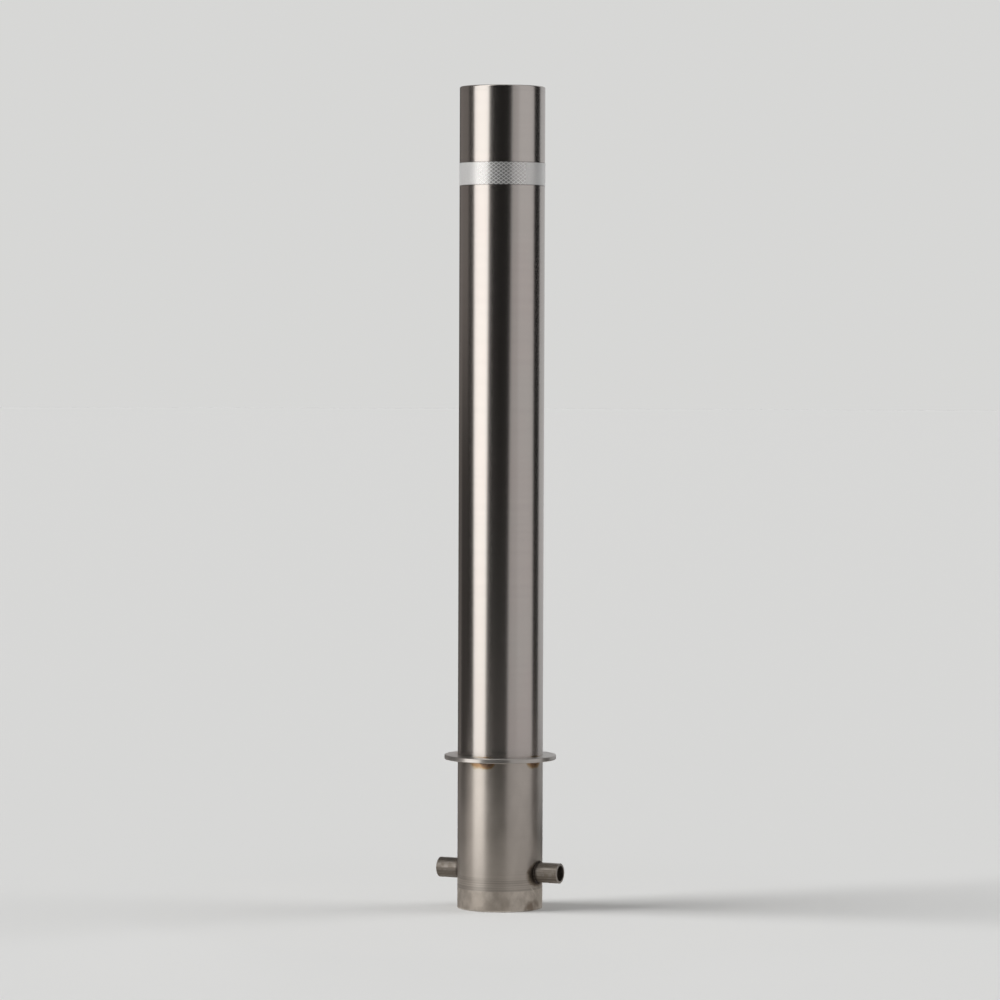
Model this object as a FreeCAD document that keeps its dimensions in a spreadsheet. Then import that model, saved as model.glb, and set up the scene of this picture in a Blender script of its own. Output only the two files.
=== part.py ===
import FreeCAD, Part
import math
import os

import Sketcher

# Fixed bollard for casting into the ground: a round stainless tube with a welded cap, a band of
# reflective tape, a flange that covers the hole in the paving, and a bar through the root.
# The frame stands on the ground line: +Z is up, z = 0 is the paving, and the bar lies along X.

# Driving sizes in millimetres, and angles in degrees
SIZES = {
    "tube_diameter": 114.3,
    "tube_wall": 3.0,
    "height_above_ground": 900.0,
    "root_depth": 200.0,
    "edge_deburr": 0.5,
    "cap_thickness": 5.0,
    "cap_edge_radius": 2.0,
    "weld_root_face": 0.8,
    "band_width": 30.0,
    "band_thickness": 0.4,
    "band_below_top": 102.0,
    "band_lap": 10.0,
    "band_ramp": 3.0,
    "band_lap_direction": 110.0,
    "flange_overhang": 17.85,
    "flange_thickness": 6.0,
    "flange_clearance": 0.2,
    "flange_edge_chamfer": 0.8,
    "flange_weld_bevel": 3.0,
    "tack_length": 16.0,
    "tack_drop": 3.5,
    "tack_first_direction": -86.0,
    "tack_second_direction": -12.0,
    "tack_third_direction": 92.0,
    "tack_fourth_direction": 182.0,
    "bar_diameter": 26.9,
    "bar_wall": 3.2,
    "bar_length": 178.0,
    "bar_above_foot": 50.0,
    "bar_clearance": 0.15,
    "bar_weld_leg": 2.5,
}
TACK_NAMES = ["tack_first", "tack_second", "tack_third", "tack_fourth"]

# The sketcher's own numbers for the points of a line or arc, and for its origin and upright axis
START = 1
END = 2
CENTRE = 3
ORIGIN = (-1, START)
UPRIGHT_AXIS = -2

# Sizes that follow from the driving ones, as expressions on the sheet
TUBE_RADIUS = "Sizes.tube_diameter / 2"
TUBE_BORE_RADIUS = "Sizes.tube_diameter / 2 - Sizes.tube_wall"
FOOT_LEVEL = "-Sizes.root_depth"
CAP_SEAT_LEVEL = "Sizes.height_above_ground - Sizes.cap_thickness"
CAP_WELD_DEPTH = "min(Sizes.tube_wall - Sizes.weld_root_face; Sizes.cap_thickness / 2)"
CAP_LAND_RADIUS = f"{TUBE_RADIUS} - {CAP_WELD_DEPTH}"
CAP_CORNER = f"min(Sizes.cap_edge_radius; Sizes.cap_thickness - {CAP_WELD_DEPTH} - Sizes.edge_deburr)"
BAND_FOOT_LEVEL = "Sizes.height_above_ground - Sizes.band_below_top - Sizes.band_width"
BAND_LAP_ANGLE = f"Sizes.band_lap / ({TUBE_RADIUS}) * 180 / pi"
BAND_RAMP_ANGLE = f"Sizes.band_ramp / ({TUBE_RADIUS}) * 180 / pi"
FLANGE_RADIUS = f"{TUBE_RADIUS} + Sizes.flange_overhang"
FLANGE_BORE_RADIUS = f"{TUBE_RADIUS} + Sizes.flange_clearance"
FLANGE_BEVEL_RADIUS = f"({FLANGE_BORE_RADIUS} + Sizes.flange_weld_bevel)"
TACK_END_DEPTH = f"({TUBE_RADIUS}) * cos(Sizes.tack_length / Sizes.tube_diameter * 1 rad)"
TACK_POOL_CENTRE = (
    f"({FLANGE_BEVEL_RADIUS}^2 - ({TUBE_RADIUS})^2) / 2 / ({FLANGE_BEVEL_RADIUS} - {TACK_END_DEPTH})"
)
BAR_RADIUS = "Sizes.bar_diameter / 2"
BAR_LEVEL = "Sizes.bar_above_foot - Sizes.root_depth"

doc = FreeCAD.newDocument("fixed_bollard")


def fill_sheet():
    """Writes the driving sizes into the sheet, each under its own alias."""
    sheet = doc.addObject("Spreadsheet::Sheet", "Sizes")
    for row, (alias, value) in enumerate(SIZES.items(), start=1):
        sheet.set(f"A{row}", alias.replace("_", " "))
        sheet.set(f"B{row}", str(value))
        sheet.setAlias(f"B{row}", alias)
    doc.recompute()
    return sheet


sheet = fill_sheet()


def worth(expression):
    """The number that an expression on the sheet has now."""
    return float(sheet.evalExpression(expression))


def new_body(name):
    """An empty body whose label names the sub-part."""
    body = doc.addObject("PartDesign::Body", name)
    body.Label = name
    return body


def new_sketch(body, name, role):
    """A sketch on one of the body's own origin planes, such as XZ_Plane."""
    sketch = body.newObject("Sketcher::SketchObject", name)
    plane = next(item for item in body.Origin.OriginFeatures if item.Role == role)
    sketch.AttachmentSupport = [(plane, "")]
    sketch.MapMode = "FlatFace"
    return sketch


def tie(sketch, name, constraint, expression):
    """Adds a dimension under a name and binds it to an expression on the sheet."""
    sketch.addConstraint(constraint)
    sketch.renameConstraint(sketch.ConstraintCount - 1, name)
    sketch.setExpression(f"Constraints.{name}", expression)


def draw_outline(sketch, corners):
    """Draws a closed outline, each corner dimensioned from the sketch's origin."""
    places = [FreeCAD.Vector(worth(across), worth(up), 0) for across, up in corners]
    count = len(corners)
    for index in range(count):
        sketch.addGeometry(Part.LineSegment(places[index], places[(index + 1) % count]), False)
    for index in range(count):
        sketch.addConstraint(Sketcher.Constraint("Coincident", index, END, (index + 1) % count, START))
    for index, (across, up) in enumerate(corners):
        sideways = Sketcher.Constraint("DistanceX", *ORIGIN, index, START, places[index].x)
        tie(sketch, f"corner_{index + 1}_across", sideways, across)
        upwards = Sketcher.Constraint("DistanceY", *ORIGIN, index, START, places[index].y)
        tie(sketch, f"corner_{index + 1}_up", upwards, up)


def draw_circle(sketch, name, radius, up=None):
    """Draws a circle on the sketch's vertical axis, at its origin unless a level is given."""
    level = worth(up) if up else 0
    circle = Part.Circle(FreeCAD.Vector(0, level, 0), FreeCAD.Vector(0, 0, 1), worth(radius))
    index = sketch.addGeometry(circle, False)
    if up:
        sketch.addConstraint(Sketcher.Constraint("PointOnObject", index, CENTRE, UPRIGHT_AXIS))
        height = Sketcher.Constraint("DistanceY", *ORIGIN, index, CENTRE, level)
        tie(sketch, f"{name}_level", height, up)
    else:
        sketch.addConstraint(Sketcher.Constraint("Coincident", index, CENTRE, *ORIGIN))
    tie(sketch, f"{name}_radius", Sketcher.Constraint("Radius", index, worth(radius)), radius)


def revolve(body, name, sketch):
    """Turns a section about the sketch's vertical axis."""
    feature = body.newObject("PartDesign::Revolution", name)
    feature.Profile = sketch
    feature.ReferenceAxis = (sketch, ["V_Axis"])
    feature.Angle = 360
    sketch.Visibility = False
    doc.recompute()
    return feature


def pad(body, name, sketch, length, both_ways=False):
    """Extrudes a sketch, on both sides of its plane where asked."""
    feature = body.newObject("PartDesign::Pad", name)
    feature.Profile = sketch
    feature.setExpression("Length", length)
    feature.Midplane = both_ways
    sketch.Visibility = False
    doc.recompute()
    return feature


def round_edges(feature, radius, axis, level):
    """Names the circular edges of one radius that lie at one level along an axis."""
    names = []
    for index, edge in enumerate(feature.Shape.Edges, start=1):
        if not isinstance(edge.Curve, Part.Circle):
            continue
        same_radius = abs(edge.Curve.Radius - worth(radius)) < 1e-4
        same_level = abs(edge.Curve.Center.dot(axis) - worth(level)) < 1e-4
        if same_radius and same_level:
            names.append(f"Edge{index}")
    return names


def dress_edges(body, kind, name, feature, edges, size):
    """Adds a chamfer or a fillet of one size on the named edges."""
    dressing = body.newObject(f"PartDesign::{kind}", name)
    dressing.Base = (feature, edges)
    dressing.setExpression("Radius" if kind == "Fillet" else "Size", size)
    doc.recompute()
    return dressing


def make_post_tube():
    """Tube with its top edge bevelled for the cap's weld, cut square and deburred at the foot."""
    body = new_body("post_tube")
    section = new_sketch(body, "tube_section", "XZ_Plane")
    draw_outline(section, [
        (TUBE_BORE_RADIUS, FOOT_LEVEL),
        (f"{TUBE_RADIUS} - Sizes.edge_deburr", FOOT_LEVEL),
        (TUBE_RADIUS, f"{FOOT_LEVEL} + Sizes.edge_deburr"),
        (TUBE_RADIUS, f"{CAP_SEAT_LEVEL} - {CAP_WELD_DEPTH}"),
        (CAP_LAND_RADIUS, CAP_SEAT_LEVEL),
        (TUBE_BORE_RADIUS, CAP_SEAT_LEVEL),
    ])
    wall = revolve(body, "tube_wall", section)

    # One drill run across the root makes both saddle-edged holes for the anchor bar.
    holes = new_sketch(body, "bar_hole_circle", "YZ_Plane")
    draw_circle(holes, "hole", f"{BAR_RADIUS} + Sizes.bar_clearance", BAR_LEVEL)
    drilled = body.newObject("PartDesign::Pocket", "bar_holes")
    drilled.Profile = holes
    drilled.Type = "ThroughAll"
    drilled.Midplane = True
    holes.Visibility = False
    doc.recompute()
    if drilled.Shape.Volume > wall.Shape.Volume - 1:
        raise RuntimeError("the anchor bar's holes did not cut the tube")
    return body


def make_top_cap():
    """Round plate laid on the tube's end, bevelled below for the weld and rounded at the top."""
    body = new_body("top_cap")
    outline = new_sketch(body, "cap_circle", "XY_Plane")
    outline.setExpression(".AttachmentOffset.Base.z", CAP_SEAT_LEVEL)
    draw_circle(outline, "cap", TUBE_RADIUS)
    plate = pad(body, "cap_plate", outline, "Sizes.cap_thickness")
    up = FreeCAD.Vector(0, 0, 1)
    lower = round_edges(plate, TUBE_RADIUS, up, CAP_SEAT_LEVEL)
    bevel = dress_edges(body, "Chamfer", "cap_weld_bevel", plate, lower, CAP_WELD_DEPTH)
    upper = round_edges(bevel, TUBE_RADIUS, up, "Sizes.height_above_ground")
    dress_edges(body, "Fillet", "cap_top_edge", bevel, upper, CAP_CORNER)
    return body


def make_cap_weld():
    """Weld that fills the groove between the tube and the cap, ground flush with both."""
    body = new_body("cap_weld")
    section = new_sketch(body, "weld_section", "XZ_Plane")
    draw_outline(section, [
        (CAP_LAND_RADIUS, CAP_SEAT_LEVEL),
        (TUBE_RADIUS, f"{CAP_SEAT_LEVEL} - {CAP_WELD_DEPTH}"),
        (TUBE_RADIUS, f"{CAP_SEAT_LEVEL} + {CAP_WELD_DEPTH}"),
    ])
    revolve(body, "weld_ring", section)
    return body


def make_reflective_band():
    """Tape stuck once round the tube, its end climbing over its start and lapping it."""
    body = new_body("reflective_band")
    sketch = new_sketch(body, "tape_edge", "XY_Plane")
    sketch.setExpression(".AttachmentOffset.Base.z", BAND_FOOT_LEVEL)
    single_radius = f"{TUBE_RADIUS} + Sizes.band_thickness"
    double_radius = f"{TUBE_RADIUS} + 2 * Sizes.band_thickness"
    end_angle = math.radians(worth("Sizes.band_lap_direction"))
    lap_start = end_angle - math.radians(worth(BAND_LAP_ANGLE))
    ramp_start = lap_start - math.radians(worth(BAND_RAMP_ANGLE))

    def place(radius, angle):
        return FreeCAD.Vector(math.cos(angle), math.sin(angle), 0) * worth(radius)

    def arc(radius, start, end):
        circle = Part.Circle(FreeCAD.Vector(), FreeCAD.Vector(0, 0, 1), worth(radius))
        return sketch.addGeometry(Part.ArcOfCircle(circle, start, end), False)

    round_turn = arc(single_radius, end_angle, ramp_start + 2 * math.pi)
    ramp_line = Part.LineSegment(place(single_radius, ramp_start), place(double_radius, lap_start))
    ramp = sketch.addGeometry(ramp_line, False)
    lap = arc(double_radius, lap_start, end_angle)
    end_line = Part.LineSegment(place(double_radius, end_angle), place(single_radius, end_angle))
    end = sketch.addGeometry(end_line, False)
    sketch.addConstraint([
        Sketcher.Constraint("Coincident", round_turn, CENTRE, *ORIGIN),
        Sketcher.Constraint("Coincident", lap, CENTRE, *ORIGIN),
        Sketcher.Constraint("Coincident", round_turn, END, ramp, START),
        Sketcher.Constraint("Coincident", ramp, END, lap, START),
        Sketcher.Constraint("Coincident", lap, END, end, START),
        Sketcher.Constraint("Coincident", end, END, round_turn, START),
        Sketcher.Constraint("PointOnObject", *ORIGIN, end),
    ])
    turn_radius = Sketcher.Constraint("Radius", round_turn, worth(single_radius))
    tie(sketch, "turn_radius", turn_radius, single_radius)
    lap_radius = Sketcher.Constraint("Radius", lap, worth(double_radius))
    tie(sketch, "lap_radius", lap_radius, double_radius)
    lap_angle = Sketcher.Constraint("Angle", lap, end_angle - lap_start)
    tie(sketch, "lap_angle", lap_angle, f"({BAND_LAP_ANGLE}) * 1 deg")
    turn_angle = Sketcher.Constraint("Angle", round_turn, ramp_start + 2 * math.pi - end_angle)
    rest_of_turn = f"(360 - {BAND_LAP_ANGLE} - {BAND_RAMP_ANGLE}) * 1 deg"
    tie(sketch, "turn_angle", turn_angle, rest_of_turn)
    end_direction = Sketcher.Constraint("Angle", *ORIGIN, end, END, end_angle)
    tie(sketch, "end_direction", end_direction, "Sizes.band_lap_direction * 1 deg")
    draw_circle(sketch, "glued_face", TUBE_RADIUS)
    pad(body, "tape", sketch, "Sizes.band_width")
    return body


def make_ground_flange():
    """Flat ring that covers the hole in the paving, bevelled below its bore for the tack welds."""
    body = new_body("ground_flange")
    outline = new_sketch(body, "flange_circles", "XY_Plane")
    draw_circle(outline, "rim", FLANGE_RADIUS)
    draw_circle(outline, "bore", FLANGE_BORE_RADIUS)
    plate = pad(body, "flange_plate", outline, "Sizes.flange_thickness")
    up = FreeCAD.Vector(0, 0, 1)
    rim = round_edges(plate, FLANGE_RADIUS, up, "0")
    rim += round_edges(plate, FLANGE_RADIUS, up, "Sizes.flange_thickness")
    eased = dress_edges(body, "Chamfer", "rim_chamfer", plate, rim, "Sizes.flange_edge_chamfer")
    bore = round_edges(eased, FLANGE_BORE_RADIUS, up, "0")
    dress_edges(body, "Chamfer", "weld_bevel", eased, bore, "Sizes.flange_weld_bevel")
    return body


def make_flange_tack_welds():
    """Four short tacks that fill the flange's bevel against the tube and thin out to their ends."""
    body = new_body("tack_ring")
    section = new_sketch(body, "tack_section", "XZ_Plane")
    draw_outline(section, [
        (TUBE_RADIUS, "-Sizes.tack_drop"),
        (FLANGE_BEVEL_RADIUS, "0"),
        (FLANGE_BORE_RADIUS, "Sizes.flange_weld_bevel"),
        (TUBE_RADIUS, "Sizes.flange_weld_bevel"),
    ])
    revolve(body, "tack_filling", section)

    # Each pool is a ball that bulges past the tube as far as the bevel is wide.
    pools = []
    for name in TACK_NAMES:
        direction = f"Sizes.{name}_direction * 1 deg"
        pool = doc.addObject("Part::Sphere", name)
        pool.setExpression("Radius", f"{FLANGE_BEVEL_RADIUS} - {TACK_POOL_CENTRE}")
        pool.setExpression("Placement.Base.x", f"{TACK_POOL_CENTRE} * cos({direction})")
        pool.setExpression("Placement.Base.y", f"{TACK_POOL_CENTRE} * sin({direction})")
        pools.append(pool)
    together = doc.addObject("Part::MultiFuse", "tack_pools")
    together.Shapes = pools
    tacks = doc.addObject("Part::Common", "flange_tack_welds")
    tacks.Base = body
    tacks.Tool = together
    tacks.Label = "flange_tack_welds"
    doc.recompute()
    return tacks


def make_anchor_bar():
    """Length of small tube through the root that keys the bollard into the concrete."""
    body = new_body("anchor_bar")
    outline = new_sketch(body, "bar_circles", "YZ_Plane")
    draw_circle(outline, "outside", BAR_RADIUS, BAR_LEVEL)
    draw_circle(outline, "bore", f"{BAR_RADIUS} - Sizes.bar_wall", BAR_LEVEL)
    bar = pad(body, "bar_tube", outline, "Sizes.bar_length", both_ways=True)
    along = FreeCAD.Vector(1, 0, 0)
    ends = round_edges(bar, BAR_RADIUS, along, "Sizes.bar_length / 2")
    ends += round_edges(bar, BAR_RADIUS, along, "-Sizes.bar_length / 2")
    dress_edges(body, "Chamfer", "sawn_end_deburr", bar, ends, "Sizes.edge_deburr")
    return body


def make_anchor_bar_welds():
    """A fillet weld all round the bar on each side, which follows the saddle on the tube."""
    post_base = FreeCAD.Vector(0, 0, worth(FOOT_LEVEL))
    post = Part.makeCylinder(worth(TUBE_RADIUS), worth("Sizes.root_depth"), post_base)
    length = worth("Sizes.bar_length")
    bar_base = FreeCAD.Vector(-length / 2, 0, worth(BAR_LEVEL))
    bar = Part.makeCylinder(worth(BAR_RADIUS), length, bar_base, FreeCAD.Vector(1, 0, 0))
    crossing = post.fuse(bar)
    plain_curves = (Part.Circle, Part.Line)
    saddles = [edge for edge in crossing.Edges if not isinstance(edge.Curve, plain_curves)]
    welded = crossing.makeChamfer(worth("Sizes.bar_weld_leg"), saddles)
    welds = doc.addObject("Part::Feature", "anchor_bar_welds")
    welds.Label = "anchor_bar_welds"
    welds.Shape = welded.cut(post).cut(bar)
    welds.Placement = FreeCAD.Placement()
    return welds


def check_document():
    """Stops if any object of the document failed to compute."""
    doc.recompute()
    for item in doc.Objects:
        if "Invalid" in item.State or "Error" in item.State:
            raise RuntimeError(f"{item.Label} did not compute: {item.State}")


def write_parts(subparts):
    """Checks each sub-part's solids and writes them to a file named after the sub-part."""
    for part in subparts:
        if part.Shape.isNull() or not part.Shape.isValid():
            raise RuntimeError(f"{part.Label} has no valid shape")
    os.makedirs("parts", exist_ok=True)
    for part in subparts:
        part.Shape.exportStep(f"parts/{part.Label}.step")
        box = part.Shape.BoundBox
        print(
            f"{part.Label}: {len(part.Shape.Solids)} solids, {part.Shape.Volume:.0f} mm3,"
            f" x {box.XMin:.2f} to {box.XMax:.2f}, y {box.YMin:.2f} to {box.YMax:.2f},"
            f" z {box.ZMin:.2f} to {box.ZMax:.2f}"
        )


subparts = [
    make_post_tube(),
    make_top_cap(),
    make_cap_weld(),
    make_reflective_band(),
    make_ground_flange(),
    make_flange_tack_welds(),
    make_anchor_bar(),
    make_anchor_bar_welds(),
]
check_document()
write_parts(subparts)
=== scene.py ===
import math

import bmesh
import bpy
from mathutils import Matrix, Vector


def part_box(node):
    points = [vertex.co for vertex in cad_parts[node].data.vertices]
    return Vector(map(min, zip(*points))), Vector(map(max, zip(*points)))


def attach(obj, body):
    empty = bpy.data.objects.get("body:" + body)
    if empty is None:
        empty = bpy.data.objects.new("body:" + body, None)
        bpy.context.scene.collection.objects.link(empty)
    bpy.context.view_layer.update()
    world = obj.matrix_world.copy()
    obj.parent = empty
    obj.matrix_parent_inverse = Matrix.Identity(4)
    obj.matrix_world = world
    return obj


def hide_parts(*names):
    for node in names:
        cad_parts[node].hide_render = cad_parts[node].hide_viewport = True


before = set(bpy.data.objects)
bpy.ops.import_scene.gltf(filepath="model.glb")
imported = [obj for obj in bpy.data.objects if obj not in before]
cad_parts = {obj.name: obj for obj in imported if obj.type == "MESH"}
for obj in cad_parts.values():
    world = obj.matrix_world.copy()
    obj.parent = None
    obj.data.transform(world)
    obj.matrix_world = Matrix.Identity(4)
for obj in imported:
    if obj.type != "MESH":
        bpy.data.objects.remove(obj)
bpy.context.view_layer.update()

# The photographer's camera: a long lens at about the middle of the part above the ground, turned
# a little over a quarter of the way from the front towards the anchor bar's end. It leans a trace.
camera_distance = 5.80
camera_azimuth = math.radians(25)
camera_height = 0.535
camera_aim_height = 0.3477
camera_aim_left = 0.0016
camera_lean = math.radians(0.20)

away = Vector((math.sin(camera_azimuth), -math.cos(camera_azimuth), 0))
to_the_right = Vector((math.cos(camera_azimuth), math.sin(camera_azimuth), 0))
camera_data = bpy.data.cameras.new("camera")
camera_data.lens = 155.83
camera_data.clip_end = 200
camera = bpy.data.objects.new("camera", camera_data)
bpy.context.scene.collection.objects.link(camera)
camera_place = away * camera_distance + Vector((0, 0, camera_height))
aim = Vector((0, 0, camera_aim_height)) - to_the_right * camera_aim_left
looking = (aim - camera_place).to_track_quat("-Z", "Y").to_matrix()
leaning = looking @ Matrix.Rotation(camera_lean, 3, "Z")
camera.matrix_world = Matrix.Translation(camera_place) @ leaning.to_4x4()
bpy.context.scene.camera = camera
bpy.context.scene.view_settings.view_transform = "Standard"

# The studio: a pale floor under a pale sky, a soft lamp from the left and a weak one from the
# right. The floor is wide enough to meet the sky at the horizon and as bright, so that no line
# shows behind the post.
foot_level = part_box("post_tube")[0].z
sky_seen = (0.680, 0.680, 0.670, 1)
sky_light = 0.312
floor_radius = 60
floor_sides = 96
lamp_rise = 0.42
lamp_spread = math.radians(40)

floor_mesh = bpy.data.meshes.new("floor")
floor_shape = bmesh.new()
bmesh.ops.create_circle(floor_shape, cap_ends=True, radius=floor_radius, segments=floor_sides)
floor_shape.to_mesh(floor_mesh)
floor_shape.free()
floor_mesh.transform(Matrix.Translation((0, 0, foot_level)))
floor = bpy.data.objects.new("floor", floor_mesh)
bpy.context.scene.collection.objects.link(floor)
floor_paint = bpy.data.materials.new("floor_paint")
floor_paint.use_nodes = True
floor_shader = floor_paint.node_tree.nodes["Principled BSDF"]
floor_shader.inputs["Base Color"].default_value = (0.80, 0.80, 0.79, 1)
floor_shader.inputs["Roughness"].default_value = 0.9
floor_shader.inputs["Specular IOR Level"].default_value = 0.1
floor_mesh.materials.append(floor_paint)

world = bpy.data.worlds.new("studio_sky")
bpy.context.scene.world = world
world.use_nodes = True
sky = world.node_tree
sky.nodes.clear()
ray = sky.nodes.new("ShaderNodeLightPath")
camera_or_glossy = sky.nodes.new("ShaderNodeMath")
camera_or_glossy.operation = "MAXIMUM"
sky.links.new(ray.outputs["Is Camera Ray"], camera_or_glossy.inputs[0])
sky.links.new(ray.outputs["Is Glossy Ray"], camera_or_glossy.inputs[1])
seen = sky.nodes.new("ShaderNodeMath")
seen.operation = "MAXIMUM"
sky.links.new(camera_or_glossy.outputs[0], seen.inputs[0])
sky.links.new(ray.outputs["Is Transmission Ray"], seen.inputs[1])
lighting = sky.nodes.new("ShaderNodeBackground")
lighting.inputs["Strength"].default_value = sky_light
backdrop = sky.nodes.new("ShaderNodeBackground")
backdrop.inputs["Color"].default_value = sky_seen
choose = sky.nodes.new("ShaderNodeMixShader")
sky.links.new(seen.outputs[0], choose.inputs[0])
sky.links.new(lighting.outputs[0], choose.inputs[1])
sky.links.new(backdrop.outputs[0], choose.inputs[2])
sky_out = sky.nodes.new("ShaderNodeOutputWorld")
sky.links.new(choose.outputs[0], sky_out.inputs["Surface"])

for lamp_name, lamp_power, lamp_bearing in (("soft_lamp", 3.75, -85), ("fill_lamp", 1.15, 100)):
    lamp_data = bpy.data.lights.new(lamp_name, "SUN")
    lamp_data.energy = lamp_power
    lamp_data.angle = lamp_spread
    lamp = bpy.data.objects.new(lamp_name, lamp_data)
    bpy.context.scene.collection.objects.link(lamp)
    lamp_turn = Matrix.Rotation(math.radians(lamp_bearing), 3, "Z")
    lamp_from = lamp_turn @ away + Vector((0, 0, lamp_rise))
    lamp.rotation_euler = lamp_from.to_track_quat("Z", "Y").to_euler()
    lamp.visible_glossy = False

# Tall cards stand round the post, and a mat lies at its foot. A polished tube shows little but its
# surroundings, so they give it the stripes of the photographer's softbox, screens and dark room.
# They are seen in reflections only, and throw no light or shadow on the floor.
card_radius = 0.5
card_foot = foot_level + 0.005
card_head = 2.4
card_step = 3
warm_white = (1, 0.965, 0.925)
warm_grey = (1, 0.955, 0.935)
brown_dark = (1, 0.91, 0.85)
room_dark = (1, 0.96, 0.90)


def reflecting_card(name, colour, start, end, *levels):
    """Puts up a curved card. Its sides are bearings in degrees to the right of the camera, each
    given at foot and head, and its levels pair a height with a brightness."""
    steps = round((end[0] - start[0]) / card_step)
    vertices, glows = [], []
    for step in range(steps + 1):
        for height, brightness in levels:
            rise = (height - card_foot) / (card_head - card_foot)
            sides = [side[0] + (side[1] - side[0]) * rise for side in (start, end)]
            bearing = math.radians(sides[0] + (sides[1] - sides[0]) * step / steps)
            side = Matrix.Rotation(bearing, 3, "Z") @ away * card_radius
            vertices.append((side.x, side.y, height))
            glows.append(brightness)
    rows = len(levels)
    faces = []
    for step in range(steps):
        for row in range(rows - 1):
            first = step * rows + row
            faces.append((first, first + rows, first + rows + 1, first + 1))
    reflected_only(name, colour, vertices, faces, glows)


def reflected_only(name, colour, vertices, faces, glows):
    """Stages a surface that shows in reflections only, with a brightness for each vertex."""
    mesh = bpy.data.meshes.new(name)
    mesh.from_pydata(vertices, [], faces)
    mesh.attributes.new("glow", "FLOAT", "POINT").data.foreach_set("value", glows)
    card = bpy.data.objects.new(name, mesh)
    bpy.context.scene.collection.objects.link(card)
    paint = bpy.data.materials.new(name)
    paint.use_nodes = True
    paint.node_tree.nodes.clear()
    brightness = paint.node_tree.nodes.new("ShaderNodeAttribute")
    brightness.attribute_name = "glow"
    glow = paint.node_tree.nodes.new("ShaderNodeEmission")
    glow.inputs["Color"].default_value = (*colour, 1)
    out = paint.node_tree.nodes.new("ShaderNodeOutputMaterial")
    paint.node_tree.links.new(brightness.outputs["Fac"], glow.inputs["Strength"])
    paint.node_tree.links.new(glow.outputs[0], out.inputs["Surface"])
    mesh.materials.append(paint)
    card.visible_camera = False
    card.visible_diffuse = False
    card.visible_shadow = False
    card.visible_transmission = False


reflecting_card(
    "back_screen", warm_grey, (-182, -182), (-166, -166),
    (card_foot, 0.18), (-0.05, 0.22), (0.03, 0.42), (card_head, 0.42),
)
reflecting_card(
    "far_left_screen", brown_dark, (-166, -166), (-148, -148), (card_foot, 0.10), (card_head, 0.10)
)
reflecting_card(
    "left_screen_outer", brown_dark, (-148, -148), (-128, -128),
    (card_foot, 0.02), (-0.14, 0.24), (-0.09, 0.24), (-0.05, 0.17), (0.0, 0.16), (0.38, 0.125),
    (0.64, 0.20), (card_head, 0.23),
)
reflecting_card(
    "left_screen_inner", brown_dark, (-128, -128), (-98, -98),
    (card_foot, 0.07), (-0.14, 0.15), (-0.05, 0.045), (0.0, 0.050), (0.38, 0.050), (0.66, 0.19),
    (card_head, 0.22),
)
reflecting_card(
    "left_gap", brown_dark, (-98, -98), (-73.4, -83.2),
    (card_foot, 0.50), (-0.09, 0.38), (-0.05, 0.15), (0.0, 0.035), (0.38, 0.028), (0.66, 0.055),
    (card_head, 0.08),
)
reflecting_card(
    "softbox", warm_white, (-73.4, -83.2), (-40, -26),
    (card_foot, 1.62), (-0.13, 1.43), (-0.09, 1.34), (-0.05, 1.41), (0.0, 1.46), (0.25, 1.62),
    (0.45, 1.68), (0.90, 1.60), (card_head, 1.60),
)
reflecting_card(
    "softbox_spill", room_dark, (-40, -26), (-20, -14),
    (card_foot, 0.08), (-0.127, 0.15), (-0.05, 0.125), (0.0, 0.09), (0.06, 0.042), (0.15, 0.028),
    (0.45, 0.013), (card_head, 0.009),
)
reflecting_card(
    "dark_room", room_dark, (-20, -14), (15.9, 35.7),
    (card_foot, 0.030), (-0.04, 0.050), (0.0, 0.056), (0.06, 0.042), (0.15, 0.028), (0.45, 0.013),
    (card_head, 0.009),
)
reflecting_card(
    "right_screen_near", warm_grey, (15.9, 35.7), (42, 44),
    (card_foot, 0.33), (0.0, 0.48), (card_head, 0.45),
)
reflecting_card(
    "right_screen", warm_grey, (42, 44), (90.7, 91.5),
    (card_foot, 0.25), (-0.05, 0.53), (0.0, 0.54), (0.45, 0.56), (0.90, 0.61), (card_head, 0.62),
)
reflecting_card(
    "right_gap", brown_dark, (90.7, 91.5), (116.3, 118.7),
    (card_foot, 0.0), (-0.12, 0.045), (-0.09, 0.09), (-0.03, 0.15), (0.03, 0.03), (0.4, 0.01),
    (card_head, 0.005),
)
reflecting_card(
    "far_right_screen", (1, 0.99, 0.985), (116.3, 118.7), (178, 178),
    (card_foot, 0.02), (-0.16, 0.08), (-0.127, 0.24), (-0.094, 0.30), (-0.05, 0.31), (0.0, 0.45),
    (0.25, 0.52), (card_head, 0.58),
)
mat_sides = 96
mat_level = foot_level + 0.002
mat_glow = 0.40
mat_glow_change = 0.08
mat_turns = [Matrix.Rotation(2 * math.pi * side / mat_sides, 3, "Z") for side in range(mat_sides)]
mat_ring = [turn @ away * card_radius for turn in mat_turns]
mat_glows = [mat_glow + mat_glow_change * place.dot(away) / card_radius for place in mat_ring]
reflected_only(
    "floor_mat", (1, 0.93, 0.85), [(place.x, place.y, mat_level) for place in mat_ring],
    [tuple(range(mat_sides))], mat_glows,
)

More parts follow.
